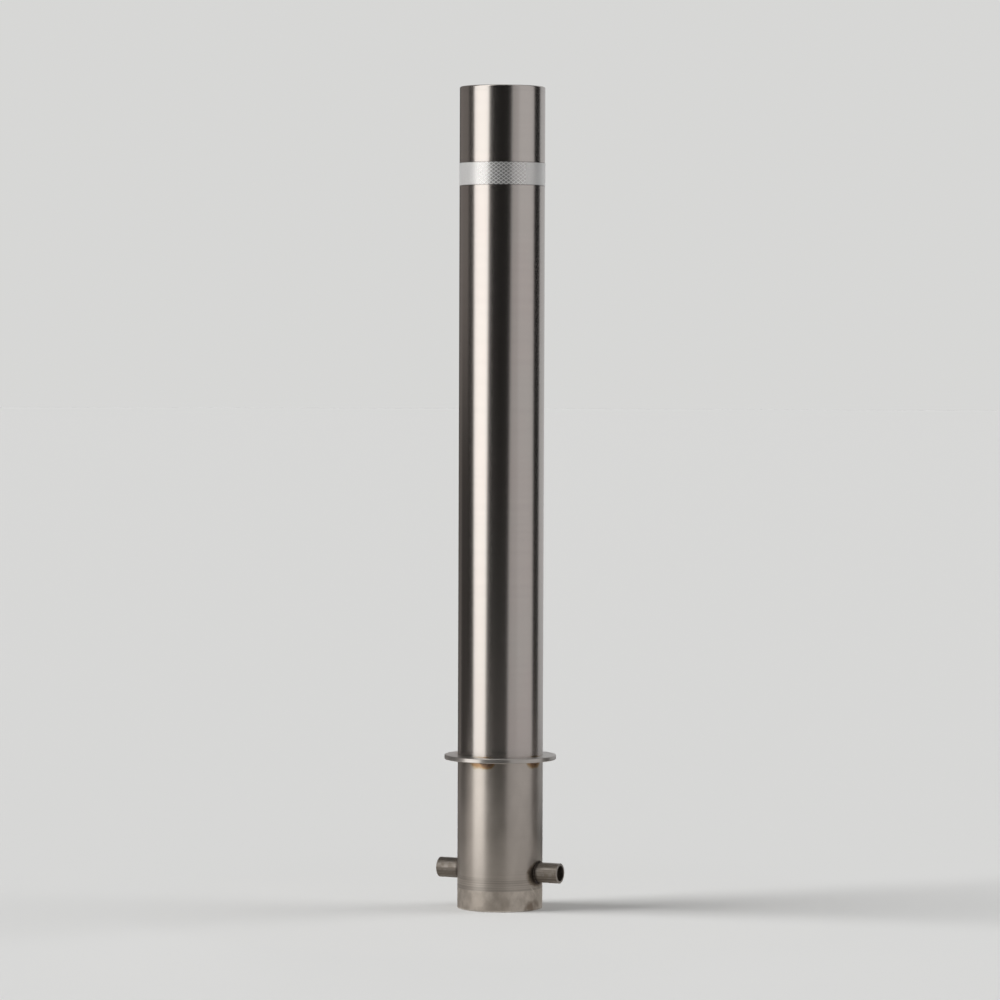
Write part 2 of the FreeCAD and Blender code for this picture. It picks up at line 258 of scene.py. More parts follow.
# The post is a length of round stainless tube. Above the ground it is polished round and round
# with a fine belt; the root is left duller, with turning marks near the foot and a rough mill
# finish below them. Its top edge is bevelled for the cap's weld, and welding has tinted it brown
# at the flange's tacks. Round the anchor bar it is darkened by weld oxide and by painted shade.
post_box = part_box("post_tube")
bar_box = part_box("anchor_bar")
tube_radius = post_box[1].x
tube_wall = 0.0030
tube_bore = tube_radius - tube_wall
deburr = 0.0005
cap_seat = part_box("top_cap")[0].z
cap_weld_depth = cap_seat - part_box("cap_weld")[0].z
bar_radius = bar_box[1].y
bar_level = (bar_box[0].z + bar_box[1].z) / 2
bar_clearance = 0.00015
flange_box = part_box("ground_flange")
finish_line = flange_box[1].z / 2
tack_bearings = [math.radians(bearing) for bearing in (-86, -12, 92, 182)]
tack_heats = (
    (-84, 0.001, 0.012, 0.0), (-93, 0.007, 0.012, 0.52), (-12, 0.004, 0.013, 0.30),
    (92, 0.003, 0.014, 0.1), (182, 0.004, 0.013, 0.2),
)
tack_heat_depth = 0.0105
turned_segments = 256
axis_tolerance = 1e-7


def line(start, end):
    """A straight stretch of a turned section: both its ends, each with its outward normal."""
    along = (Vector(end) - Vector(start)).normalized()
    normal = Vector((along.y, -along.x))
    return [(Vector(start), normal, Vector(end), normal)]


def outline(*corners):
    """The straight stretches of a closed section, given anticlockwise as radius and height."""
    stretches = []
    for index, corner in enumerate(corners):
        stretches += line(corner, corners[(index + 1) % len(corners)])
    return stretches


def arc(centre, radius, start, end, steps):
    """A rounded stretch of a turned section, from one angle to another in degrees."""
    stretches = []
    for step in range(steps):
        turns = [math.radians(start + (end - start) * (step + i) / steps) for i in (0, 1)]
        normals = [Vector((math.cos(turn), math.sin(turn))) for turn in turns]
        places = [Vector(centre) + normal * radius for normal in normals]
        stretches.append((places[0], normals[0], places[1], normals[1]))
    return stretches


def turned(name, section, axis="Z", level=0.0):
    """Turns a closed section about the Z axis, or about X at a level. Corner normals are exact."""

    def stand(radius, along, turn):
        across, around = radius * math.cos(turn), radius * math.sin(turn)
        return (across, around, along) if axis == "Z" else (along, across, around)

    vertices, rings = [], []
    turns = [2 * math.pi * segment / turned_segments for segment in range(turned_segments)]
    for place, _, _, _ in section:
        on_axis = place.x < axis_tolerance
        rings.append([len(vertices) + (0 if on_axis else i) for i in range(turned_segments)])
        vertices += [stand(place.x, place.y, turn) for turn in turns[: 1 if on_axis else None]]
    faces, normals = [], []
    for index, (start, start_normal, end, end_normal) in enumerate(section):
        if max(start.x, end.x) < axis_tolerance:
            continue
        low, high = rings[index], rings[(index + 1) % len(rings)]
        for segment in range(turned_segments):
            after = (segment + 1) % turned_segments
            corners = [
                (low[segment], start_normal, turns[segment]),
                (low[after], start_normal, turns[after]),
                (high[after], end_normal, turns[after]),
                (high[segment], end_normal, turns[segment]),
            ]
            if low[segment] == low[after]:
                corners.pop(1)
            if high[segment] == high[after]:
                corners.pop(-1)
            faces.append([corner for corner, _, _ in corners])
            normals += [stand(normal.x, normal.y, turn) for _, normal, turn in corners]
    mesh = bpy.data.meshes.new(name)
    mesh.from_pydata([Vector(v) + Vector((0, 0, level)) for v in vertices], [], faces)
    mesh.shade_smooth()
    mesh.normals_split_custom_set(normals)
    piece = bpy.data.objects.new(name, mesh)
    bpy.context.scene.collection.objects.link(piece)
    return piece


def put(tree, kind, values=None, **settings):
    """Adds a shader node, applies its settings, and fills or links its inputs."""
    node = tree.nodes.new(kind)
    for name, value in settings.items():
        setattr(node, name, value)
    for key, value in (values or {}).items():
        if isinstance(value, bpy.types.NodeSocket):
            tree.links.new(value, node.inputs[key])
        else:
            node.inputs[key].default_value = value
    return node


def maths(tree, operation, *terms):
    """The result of one sum on numbers or sockets."""
    return put(tree, "ShaderNodeMath", dict(enumerate(terms)), operation=operation).outputs[0]


def spread(tree, value, low, high, to_low, to_high):
    """Carries a value from one range to another, and holds it at the ends."""
    terms = {"Value": value, "From Min": low, "From Max": high, "To Min": to_low, "To Max": to_high}
    return put(tree, "ShaderNodeMapRange", terms).outputs[0]


def noise(tree, place, stretch, detail=2.0):
    """Cloudy noise, between 0 and 1, at a place whose coordinates are multiplied by a stretch."""
    scaled = put(tree, "ShaderNodeVectorMath", {0: place, 1: stretch}, operation="MULTIPLY")
    terms = {"Vector": scaled.outputs[0], "Scale": 1.0, "Detail": detail}
    return put(tree, "ShaderNodeTexNoise", terms).outputs[0]


def shades(tree, value, *stops):
    """A colour for a value, from stops of a position and a colour."""
    ramp = put(tree, "ShaderNodeValToRGB", {0: value})
    elements = ramp.color_ramp.elements
    while len(elements) < len(stops):
        elements.new(0.5)
    for element, (position, colour) in zip(elements, stops):
        element.position = position
        element.color = (*colour, 1)
    return ramp.outputs[0]


def mixed(tree, factor, first, second, mode="MIX"):
    """Two colours mixed by a factor, or multiplied where asked."""
    terms = {0: factor, 6: first, 7: second}
    node = put(tree, "ShaderNodeMix", None, data_type="RGBA", blend_type=mode)
    for key, value in terms.items():
        if isinstance(value, bpy.types.NodeSocket):
            tree.links.new(value, node.inputs[key])
        else:
            node.inputs[key].default_value = value if key == 0 else (*value, 1)
    return node.outputs[2]


# Every piece of bare steel shares one kind of material, with fine lines round an axis. The lines
# change the gloss a little, and the colour less on polished steel than on rough steel.
grain_gloss = 0.002
polished_contrast = 0.003
rough_contrast = 0.010


class Steel:
    """Bare steel with fine grain lines round an axis. Callers add their marks to its colour."""

    def __init__(self, name, axis, roughness, anisotropy, grain, level=0.0):
        self.material = bpy.data.materials.new(name)
        self.material.use_nodes = True
        tree = self.tree = self.material.node_tree
        self.shader = tree.nodes["Principled BSDF"]
        self.shader.inputs["Metallic"].default_value = 1
        self.shader.inputs["Anisotropic"].default_value = anisotropy
        self.shader.inputs["Anisotropic Rotation"].default_value = 0.25
        tangent = put(tree, "ShaderNodeTangent", direction_type="RADIAL", axis=axis)
        tree.links.new(tangent.outputs[0], self.shader.inputs["Tangent"])
        self.place = put(tree, "ShaderNodeTexCoord").outputs["Object"]
        self.x, self.y, self.z = put(tree, "ShaderNodeSeparateXYZ", {0: self.place}).outputs
        height = maths(tree, "SUBTRACT", self.z, level)
        sides = (self.x, self.y, self.z) if axis == "Z" else (self.y, height, self.x)
        squares = [maths(tree, "MULTIPLY", side, side) for side in sides[:2]]
        self.radius = maths(tree, "SQRT", maths(tree, "ADD", *squares))
        along = maths(tree, "ADD", self.radius, sides[2])
        wound = put(tree, "ShaderNodeCombineXYZ", {0: sides[0], 1: sides[1], 2: along})
        self.wound = wound.outputs[0]
        self.lines = noise(tree, self.wound, (9, 9, grain), 1)
        glossy, dull = roughness - grain_gloss, roughness + grain_gloss
        self.roughness = spread(tree, self.lines, 0.3, 0.7, glossy, dull)

    def finish(self, colour, relief=0):
        """Links the colour and roughness. Rough steel has a relief in metres, which raises its grain
        lines and makes them plainer. Polished steel has none."""
        tree = self.tree
        contrast = rough_contrast if relief else polished_contrast
        tone = spread(tree, self.lines, 0.3, 0.7, 1 - contrast, 1 + contrast)
        lined = put(tree, "ShaderNodeVectorMath", {0: colour, "Scale": tone}, operation="SCALE")
        tree.links.new(lined.outputs[0], self.shader.inputs["Base Color"])
        tree.links.new(self.roughness, self.shader.inputs["Roughness"])
        if relief:
            bump = put(tree, "ShaderNodeBump", {"Height": self.lines, "Distance": relief})
            tree.links.new(bump.outputs[0], self.shader.inputs["Normal"])
        return self.material


def bearing_of(steel):
    """The direction of a place round the post, in radians from the X axis."""
    return maths(steel.tree, "ARCTAN2", steel.y, steel.x)


def tack_distance(steel, depth, depth_reach):
    """How far a place is from the tacks' heat: 0 in its middle, 1 where its tint ends. Each heat
    has a bearing, the half width of its flat middle, the width of its fade and its least value."""
    tree = steel.tree
    around = bearing_of(steel)
    down = maths(tree, "DIVIDE", depth, depth_reach)
    down = maths(tree, "MULTIPLY", down, down)
    nearest = None
    for bearing, flat, fade, least in tack_heats:
        off = maths(tree, "SUBTRACT", around, math.radians(bearing))
        off = maths(tree, "ABSOLUTE", maths(tree, "WRAP", off, math.pi, -math.pi))
        off = maths(tree, "SUBTRACT", off, flat / tube_radius)
        off = maths(tree, "MULTIPLY", maths(tree, "MAXIMUM", off, 0), tube_radius / fade)
        reached = maths(tree, "ADD", maths(tree, "MULTIPLY", off, off), down)
        reached = maths(tree, "MULTIPLY_ADD", reached, 1 - least, least)
        nearest = reached if nearest is None else maths(tree, "MINIMUM", nearest, reached)
    uneven = spread(tree, noise(tree, steel.place, (260, 260, 260), 3), 0.3, 0.7, -0.08, 0.08)
    return maths(tree, "ADD", nearest, uneven)


def heat_tint(steel, distance):
    """The colours that heat leaves on stainless steel, from a weld outwards."""
    return shades(
        steel.tree, distance,
        (0.0, (0.26, 0.19, 0.15)), (0.35, (0.46, 0.32, 0.22)), (0.56, (0.66, 0.45, 0.27)),
        (0.70, (0.78, 0.62, 0.43)), (0.82, (0.86, 0.79, 0.65)), (1.0, (1, 1, 1)),
    )


post = turned("post", outline(
    (tube_bore, foot_level),
    (tube_radius - deburr, foot_level),
    (tube_radius, foot_level + deburr),
    (tube_radius, finish_line),
    (tube_radius, cap_seat - cap_weld_depth),
    (tube_radius - cap_weld_depth, cap_seat),
    (tube_bore, cap_seat),
))

# The two saddle-edged holes for the bar are drilled in one run, right through the root.
drill_radius = bar_radius + bar_clearance
drill_reach = 0.1
across_the_bar = 0.01
facet_sag = 0.0001
drill = turned("drill", outline(
    (0, -drill_reach), (drill_radius, -drill_reach), (drill_radius, drill_reach), (0, drill_reach),
), axis="X", level=bar_level)
drilling = post.modifiers.new("drilling", "BOOLEAN")
drilling.operation = "DIFFERENCE"
drilling.solver = "EXACT"
drilling.object = drill
drilled = bpy.data.meshes.new_from_object(post.evaluated_get(bpy.context.evaluated_depsgraph_get()))
post.modifiers.remove(drilling)
post.data = drilled
bpy.data.objects.remove(drill)
corner_normals = []
for face in drilled.polygons:
    from_bar = Vector((0, face.center.y, face.center.z - bar_level))
    on_drill = abs(from_bar.length - drill_radius) < facet_sag
    in_hole = on_drill and abs(face.normal.x) < across_the_bar
    outwards = Vector((face.center.x, face.center.y, 0)).normalized()
    in_bore = face.normal.dot(outwards) < -0.5
    face.material_index = 1 if in_bore or face.center.z < finish_line else 0
    for corner in face.loop_indices:
        spot = drilled.vertices[drilled.loops[corner].vertex_index].co
        if in_hole:
            corner_normals.append(-Vector((0, spot.y, spot.z - bar_level)).normalized())
        else:
            radial = Vector((spot.x, spot.y, 0)).normalized() * face.normal.dot(outwards)
            corner_normals.append((radial + Vector((0, 0, face.normal.z))).normalized())
drilled.shade_smooth()
drilled.normals_split_custom_set(corner_normals)


def satin_steel(name):
    """The post's polished finish, which the cap shares."""
    steel = Steel(name, "Z", roughness=0.27, anisotropy=0.7, grain=1500)
    tree = steel.tree
    patches = spread(tree, noise(tree, steel.place, (16, 16, 9)), 0.35, 0.65, 0, 1)
    bands = spread(tree, noise(tree, steel.place, (2, 2, 110)), 0.3, 0.7, 0.985, 1.015)
    colour = mixed(tree, patches, (0.600, 0.578, 0.556), (0.604, 0.566, 0.546))
    steel.colour = put(
        tree, "ShaderNodeVectorMath", {0: colour, "Scale": bands}, operation="SCALE"
    ).outputs[0]
    return steel


def tinted_by_tacks(steel, colour, depth):
    """Adds the heat tints of the four tacks, at a depth below the flange or above it."""
    tint = heat_tint(steel, tack_distance(steel, depth, tack_heat_depth))
    return mixed(steel.tree, 1, colour, tint, "MULTIPLY")


steel = satin_steel("post_steel")
tree = steel.tree
heat_lost_in_flange = 0.0088
tape_edge_shade_core = 0.0006
tape_edge_shade_edge = 0.0011
above_flange = maths(tree, "SUBTRACT", steel.z, flange_box[1].z)
colour = tinted_by_tacks(steel, steel.colour, maths(tree, "ADD", above_flange, heat_lost_in_flange))
tape_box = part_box("reflective_band")
# A thin painted shade line darkens the steel along both edges of the tape.
for tape_edge in (tape_box[0].z, tape_box[1].z):
    from_tape = maths(tree, "ABSOLUTE", maths(tree, "SUBTRACT", steel.z, tape_edge))
    painted_tape_edge_shade = spread(tree, from_tape, tape_edge_shade_core, tape_edge_shade_edge, 0.35, 0)
    colour = mixed(tree, painted_tape_edge_shade, colour, (0.06, 0.055, 0.05))
post.data.materials.append(steel.finish(colour))

steel = Steel("root_steel", "Z", roughness=0.30, anisotropy=0.3, grain=1100)
tree = steel.tree
turning_top = -0.1432
turning_foot = -0.1710
turning_fade = 0.016
mill_top = turning_foot - 0.0012
mill_blend = 0.0014
stain_bearing = math.radians(-15)
stain_level = foot_level + 0.0038
stain_half_width = 0.014
stain_half_height = 0.009
scratch_bearing = -0.30
scratch_slant = 0.06
scratch_foot = foot_level + 0.011
scratch_fade = 0.006
blotches = noise(tree, steel.place, (34, 34, 26), 6)
stains = noise(tree, steel.place, (12, 12, 8), 4)
mottled = spread(tree, blotches, 0.35, 0.65, 0, 1)
dull = mixed(tree, mottled, (0.560, 0.526, 0.490), (0.630, 0.592, 0.554))
dull = mixed(tree, spread(tree, stains, 0.55, 0.75, 0, 0.45), dull, (0.49, 0.435, 0.385))
clouds = spread(tree, noise(tree, steel.place, (95, 95, 70), 4), 0.38, 0.62, 0, 1)
mill = mixed(tree, clouds, (0.560, 0.520, 0.475), (0.715, 0.670, 0.620))
mill = mixed(tree, spread(tree, stains, 0.48, 0.62, 0, 0.5), mill, (0.38, 0.33, 0.28))
around = bearing_of(steel)
to_stain = maths(tree, "SUBTRACT", around, stain_bearing)
to_stain = maths(tree, "MULTIPLY", to_stain, tube_radius / stain_half_width)
down_stain = maths(tree, "DIVIDE", maths(tree, "SUBTRACT", steel.z, stain_level), stain_half_height)
to_stain = maths(tree, "ADD", *[maths(tree, "MULTIPLY", off, off) for off in (to_stain, down_stain)])
to_stain = maths(tree, "ADD", to_stain, spread(tree, clouds, 0, 1, -0.45, 0.45))
mill = mixed(tree, spread(tree, to_stain, 0.0, 1.5, 0.80, 0), mill, (0.26, 0.21, 0.17))
below_turning = spread(tree, steel.z, mill_top - mill_blend, mill_top, 1, 0)
colour = mixed(tree, below_turning, dull, mill)

rings = noise(tree, steel.wound, (5, 5, 440), 2)
in_turning = maths(
    tree, "MULTIPLY",
    spread(tree, steel.z, mill_top, turning_foot, 0, 1),
    spread(tree, steel.z, turning_top - turning_fade, turning_top, 1, 0),
)
from_last = maths(tree, "ABSOLUTE", maths(tree, "SUBTRACT", steel.z, turning_foot))
last_ring = spread(tree, from_last, 0.0005, 0.0020, 1.0, 0)
ring_depth = maths(tree, "MULTIPLY", spread(tree, rings, 0.38, 0.54, 1, 0), in_turning)
ring_depth = maths(tree, "MULTIPLY", maths(tree, "MAXIMUM", ring_depth, last_ring), 0.30)
colour = mixed(tree, ring_depth, colour, (0.14, 0.12, 0.105))

slanted = maths(tree, "ADD", maths(tree, "MULTIPLY", around, tube_radius), steel.z)
along_scratch = maths(tree, "MULTIPLY", steel.z, scratch_slant)
across_scratch = put(tree, "ShaderNodeCombineXYZ", {0: slanted, 1: along_scratch}).outputs[0]
scratches = spread(tree, noise(tree, across_scratch, (360, 360, 1), 2), 0.53, 0.63, 0, 1)
off_scratches = maths(tree, "ABSOLUTE", maths(tree, "SUBTRACT", around, scratch_bearing))
scratched = maths(
    tree, "MULTIPLY",
    spread(tree, off_scratches, 0.10, 0.30, 0.6, 0),
    spread(tree, steel.z, turning_foot - 0.001, turning_foot + 0.005, 1, 0),
)
above_stain = spread(tree, steel.z, scratch_foot, scratch_foot + scratch_fade, 0, 1)
scratched = maths(tree, "MULTIPLY", scratched, above_stain)
colour = mixed(tree, maths(tree, "MULTIPLY", scratches, scratched), colour, (0.84, 0.80, 0.75))

colour = tinted_by_tacks(steel, colour, maths(tree, "MULTIPLY", steel.z, -1))
# Round each end of the bar the tube darkens in a crescent: partly weld oxide, partly painted shade and a
# painted reflection of the bar where bar and tube meet.
oxide_and_shade_narrowing = 0.68
oxide_and_shade_level = bar_level - 0.0020
oxide_and_shade_start = bar_radius - 0.0013
oxide_and_shade_end = bar_radius + 0.0051
sideways = maths(tree, "MULTIPLY", steel.y, oxide_and_shade_narrowing)
downwards = maths(tree, "SUBTRACT", steel.z, oxide_and_shade_level)
squares = [maths(tree, "MULTIPLY", offset, offset) for offset in (sideways, downwards)]
from_bar = maths(tree, "SQRT", maths(tree, "ADD", *squares))
uneven = spread(tree, noise(tree, steel.place, (150, 150, 150), 3), 0.3, 0.7, -0.0009, 0.0009)
from_bar = maths(tree, "ADD", from_bar, uneven)
oxide_and_shade = shades(
    tree, spread(tree, from_bar, oxide_and_shade_start, oxide_and_shade_end, 0, 1),
    (0.0, (0.15, 0.135, 0.12)), (0.38, (0.33, 0.30, 0.27)), (0.72, (0.66, 0.61, 0.56)), (1.0, (1, 1, 1)),
)
colour = mixed(tree, 1, colour, oxide_and_shade, "MULTIPLY")
roughness = spread(tree, steel.z, turning_top, 0, 0.36, 0.33)
roughness = maths(tree, "ADD", roughness, spread(tree, blotches, 0.3, 0.7, -0.03, 0.03))
steel.roughness = maths(tree, "ADD", roughness, maths(tree, "MULTIPLY", below_turning, 0.05))
steel.shader.inputs["Metallic"].default_value = 0.975
post.data.materials.append(steel.finish(colour, relief=0.000001))
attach(post, "root")
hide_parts("post_tube")

# The cap is a round plate laid on the tube's end. Its top edge is rounded over and its lower edge
# bevelled for the weld, and it is polished with the post, so it shares the post's finish.
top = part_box("top_cap")[1].z
cap_corner = 0.0020
cap = turned("cap", (
    line((0, cap_seat), (tube_radius - cap_weld_depth, cap_seat))
    + line((tube_radius - cap_weld_depth, cap_seat), (tube_radius, cap_seat + cap_weld_depth))
    + line((tube_radius, cap_seat + cap_weld_depth), (tube_radius, top - cap_corner))
    + arc((tube_radius - cap_corner, top - cap_corner), cap_corner, 0, 90, 8)
    + line((tube_radius - cap_corner, top), (0, top))
    + line((0, top), (0, cap_seat))
))
steel = satin_steel("cap_steel")
cap.data.materials.append(steel.finish(steel.colour))
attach(cap, "root")
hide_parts("top_cap")

# The weld that fills the groove between tube and cap is ground flush and polished over, so that
# only a faint change of tone shows where it runs.
cap_weld = turned("cap_weld_ring", outline(
    (tube_radius - cap_weld_depth, cap_seat),
    (tube_radius, cap_seat - cap_weld_depth),
    (tube_radius, cap_seat + cap_weld_depth),
))
steel = satin_steel("cap_weld_steel")
tree = steel.tree
weld_edge_width = 0.0007
from_middle = maths(tree, "ABSOLUTE", maths(tree, "SUBTRACT", steel.z, cap_seat))
edge = spread(tree, from_middle, cap_weld_depth - weld_edge_width, cap_weld_depth, 0, 0.30)
colour = mixed(tree, edge, mixed(tree, 0.3, steel.colour, (0.56, 0.54, 0.525)), (0.30, 0.28, 0.265))
cap_weld.data.materials.append(steel.finish(colour))
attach(cap_weld, "root")
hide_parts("cap_weld")

# The reflective tape is stuck once round the tube, and its end climbs over its start at the back.
# Under a smooth clear face, dull seal lines cross and part the metallised film into diamonds. The
# film is a mirror only where it is looked at squarely, so there the diamonds turn dark and show.
tape_thickness = 0.0004
tape_lap = 0.010
tape_ramp = 0.003
tape_end = math.radians(110)
tape_lap_start = tape_end - tape_lap / tube_radius
tape_ramp_start = tape_lap_start - tape_ramp / tube_radius
diamonds_round = 54
diamond_height = 0.0049
turn_steps = 240
lap_steps = 8

stations = []
for step in range(turn_steps + 1):
    sweep = (tape_ramp_start + 2 * math.pi - tape_end) * step / turn_steps
    stations.append((tape_end + sweep, tube_radius + tape_thickness))
for step in range(lap_steps + 1):
    sweep = (tape_end - tape_lap_start) * step / lap_steps
    stations.append((tape_lap_start + 2 * math.pi + sweep, tube_radius + 2 * tape_thickness))
vertices, faces = [], []
for bearing, outer in stations:
    for radius, height in (
        (tube_radius, tape_box[0].z), (outer, tape_box[0].z),
        (outer, tape_box[1].z), (tube_radius, tape_box[1].z),
    ):
        vertices.append((radius * math.cos(bearing), radius * math.sin(bearing), height))
last = len(stations) - 1
for index in range(last):
    here, there = 4 * index, 4 * (index + 1)
    if index + 1 < last:
        faces.append((here + 1, here, there, there + 1))
        faces.append((here + 3, here + 2, there + 2, there + 3))
        inner_foot, inner_head = there, there + 3
    else:
        faces.append((here + 1, here, 0, 1, there + 1))
        faces.append((here + 3, here + 2, there + 2, 2, 3))
        inner_foot, inner_head = 0, 3
    faces.append((here + 1, there + 1, there + 2, here + 2))
    faces.append((here, here + 3, inner_head, inner_foot))
faces.append((4 * last + 1, 1, 2, 4 * last + 2))
tape_mesh = bpy.data.meshes.new("tape")
tape_mesh.from_pydata(vertices, [], faces)
tape_shape = bmesh.new()
tape_shape.from_mesh(tape_mesh)
loose = [vertex for vertex in tape_shape.verts if not vertex.link_faces]
bmesh.ops.delete(tape_shape, geom=loose, context="VERTS")
bmesh.ops.recalc_face_normals(tape_shape, faces=tape_shape.faces)
tape_shape.to_mesh(tape_mesh)
tape_shape.free()
corner_normals = []
for face in tape_mesh.polygons:
    outwards = Vector((face.center.x, face.center.y, 0)).normalized()
    is_wall = abs(face.normal.dot(outwards)) > 0.9
    for corner in face.loop_indices:
        spot = tape_mesh.vertices[tape_mesh.loops[corner].vertex_index].co
        radial = Vector((spot.x, spot.y, 0)).normalized()
        side = math.copysign(1, face.normal.dot(outwards))
        corner_normals.append(radial * side if is_wall else face.normal.copy())
tape_mesh.shade_smooth()
tape_mesh.normals_split_custom_set(corner_normals)
tape = bpy.data.objects.new("tape", tape_mesh)
bpy.context.scene.collection.objects.link(tape)

film = bpy.data.materials.new("reflective_film")
film.use_nodes = True
tree = film.node_tree
shader = tree.nodes["Principled BSDF"]
place = put(tree, "ShaderNodeTexCoord").outputs["Object"]
x, y, z = put(tree, "ShaderNodeSeparateXYZ", {0: place}).outputs
around = maths(tree, "MULTIPLY", maths(tree, "ARCTAN2", y, x), diamonds_round / (2 * math.pi))
tape_middle = (tape_box[0].z + tape_box[1].z) / 2
upwards = maths(tree, "DIVIDE", maths(tree, "SUBTRACT", z, tape_middle), diamond_height)
to_seals = []
for slant in ("ADD", "SUBTRACT"):
    count = maths(tree, slant, around, upwards)
    to_seals.append(maths(tree, "ABSOLUTE", maths(tree, "SUBTRACT", count, maths(tree, "ROUND", count))))
to_seal = maths(tree, "MINIMUM", *to_seals)
seal_core = 0.072
seal_edge = 0.110
seal = spread(tree, to_seal, seal_core, seal_edge, 1, 0)
# Both edges of the film are darker: partly its sealed border, partly painted shade along the tape's
# edges.
edge_seal_and_shade_core = 0.0005
edge_seal_and_shade_edge = 0.0009
tape_half_width = (tape_box[1].z - tape_box[0].z) / 2
from_tape_middle = maths(tree, "ABSOLUTE", maths(tree, "SUBTRACT", z, tape_middle))
from_edge = maths(tree, "SUBTRACT", tape_half_width, from_tape_middle)
edge_seal_and_shade = spread(tree, from_edge, edge_seal_and_shade_core, edge_seal_and_shade_edge, 1, 0)
grain = spread(tree, noise(tree, place, (900, 900, 900), 2), 0.3, 0.7, 0.93, 1.07)
cell = mixed(tree, seal, (0.66, 0.66, 0.655), (0.65, 0.65, 0.645))
cell = mixed(tree, edge_seal_and_shade, cell, (0.44, 0.43, 0.42))
cell = put(tree, "ShaderNodeVectorMath", {0: cell, "Scale": grain}, operation="SCALE").outputs[0]
tree.links.new(cell, shader.inputs["Base Color"])
tree.links.new(spread(tree, seal, 0, 1, 0.72, 0.40), shader.inputs["Metallic"])
mirror_roughness = 0.24
dull_roughness = 0.45
facing = put(tree, "ShaderNodeLayerWeight", {"Blend": 0.5}).outputs["Facing"]
cell_roughness = spread(tree, facing, 0.12, 0.36, mirror_roughness, dull_roughness)
tree.links.new(spread(tree, seal, 0, 1, cell_roughness, dull_roughness), shader.inputs["Roughness"])
pillow = spread(tree, to_seal, 0.07, 0.22, 0, 1)
quilting = put(tree, "ShaderNodeBump", {"Height": pillow, "Distance": 0.00002, "Strength": 0.8})
tree.links.new(quilting.outputs[0], shader.inputs["Normal"])
shader.inputs["Coat Weight"].default_value = 0.40
shader.inputs["Coat Roughness"].default_value = 0.25
shader.inputs["Sheen Weight"].default_value = 1.0
shader.inputs["Sheen Roughness"].default_value = 0.40
tape.data.materials.append(film)
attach(tape, "root")
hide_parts("reflective_band")

# The ground flange is a ring cut from stainless plate, turned true and eased at its rim. Below,
# its bore is bevelled for the tack welds, whose heat shows as straw rings on both faces.
rim_radius = flange_box[1].x
flange_top = flange_box[1].z
flange_clearance = 0.0002
flange_bore = tube_radius + flange_clearance
rim_chamfer = 0.0008
weld_bevel = 0.0030
flange_heat_reach = 0.009
flange_heat_loss = 0.35
flange = turned("flange", outline(
    (flange_bore + weld_bevel, 0),
    (rim_radius - rim_chamfer, 0),
    (rim_radius, rim_chamfer),
    (rim_radius, flange_top - rim_chamfer),
    (rim_radius - rim_chamfer, flange_top),
    (flange_bore, flange_top),
    (flange_bore, weld_bevel),
))
steel = Steel("flange_steel", "Z", roughness=0.30, anisotropy=0.55, grain=1300)
tree = steel.tree
turning_rings = spread(tree, noise(tree, steel.wound, (4, 4, 520), 2), 0.35, 0.65, 0, 1)
colour = mixed(tree, turning_rings, (0.55, 0.53, 0.505), (0.62, 0.60, 0.58))
blotches = spread(tree, noise(tree, steel.place, (60, 60, 60), 4), 0.5, 0.8, 0, 0.3)
colour = mixed(tree, blotches, colour, (0.50, 0.45, 0.40))
from_bore = maths(tree, "SUBTRACT", steel.radius, flange_bore)
from_tacks = tack_distance(steel, from_bore, flange_heat_reach)
tint = heat_tint(steel, maths(tree, "ADD", from_tacks, flange_heat_loss))
colour = mixed(tree, 1, colour, tint, "MULTIPLY")
steel.shader.inputs["Metallic"].default_value = 0.92
flange.data.materials.append(steel.finish(colour, relief=0.000006))
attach(flange, "root")
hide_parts("ground_flange")

# Every weld that was not ground is a bead laid along a path in overlapping pools, which leave
# fine ripples. The first beads are four short tacks that hold the flange to the tube from below.
steps_in_a_ripple = 7.0
hand_scale = 190.0
hand_unevenness = 0.45
mean_swell = 0.92
least_taper = 0.02
bead_sides = 14
ripples = bpy.data.node_groups.new("weld_bead", "GeometryNodeTree")
bead_numbers = ("Bead Radius", "Ripple Pitch", "Ripple Depth", "Tapered Ends", "Seed")
bead_kinds = {"Path": "Geometry", **dict.fromkeys(bead_numbers, "Float"), "Material": "Material"}
bead_inputs = {}
for label, kind in bead_kinds.items():
    socket = ripples.interface.new_socket(label, in_out="INPUT", socket_type="NodeSocket" + kind)
    bead_inputs[label] = socket.identifier
ripples.interface.new_socket("Bead", in_out="OUTPUT", socket_type="NodeSocketGeometry")
given = put(ripples, "NodeGroupInput").outputs
run = put(ripples, "GeometryNodeMeshToCurve", {0: given["Path"]}).outputs[0]
fine = maths(ripples, "DIVIDE", given["Ripple Pitch"], steps_in_a_ripple)
run = put(ripples, "GeometryNodeResampleCurve", {"Curve": run, "Length": fine}, mode="LENGTH").outputs[0]
along = put(ripples, "GeometryNodeSplineParameter").outputs
pools = maths(ripples, "DIVIDE", along["Length"], given["Ripple Pitch"])
wave = maths(ripples, "ABSOLUTE", maths(ripples, "SINE", maths(ripples, "MULTIPLY", pools, math.pi)))
wave = maths(ripples, "MULTIPLY", wave, given["Ripple Depth"])
spot = put(ripples, "GeometryNodeInputPosition").outputs[0]
hand_terms = {"Vector": spot, "W": given["Seed"], "Scale": hand_scale, "Detail": 1.0}
hand = put(ripples, "ShaderNodeTexNoise", hand_terms, noise_dimensions="4D").outputs[0]
hand = maths(ripples, "MULTIPLY", maths(ripples, "SUBTRACT", hand, 0.5), hand_unevenness)
swell = maths(ripples, "ADD", maths(ripples, "ADD", wave, hand), mean_swell)
from_centre = maths(ripples, "SUBTRACT", maths(ripples, "MULTIPLY", along["Factor"], 2.0), 1.0)
rounded = maths(ripples, "SUBTRACT", 1.0, maths(ripples, "MULTIPLY", from_centre, from_centre))
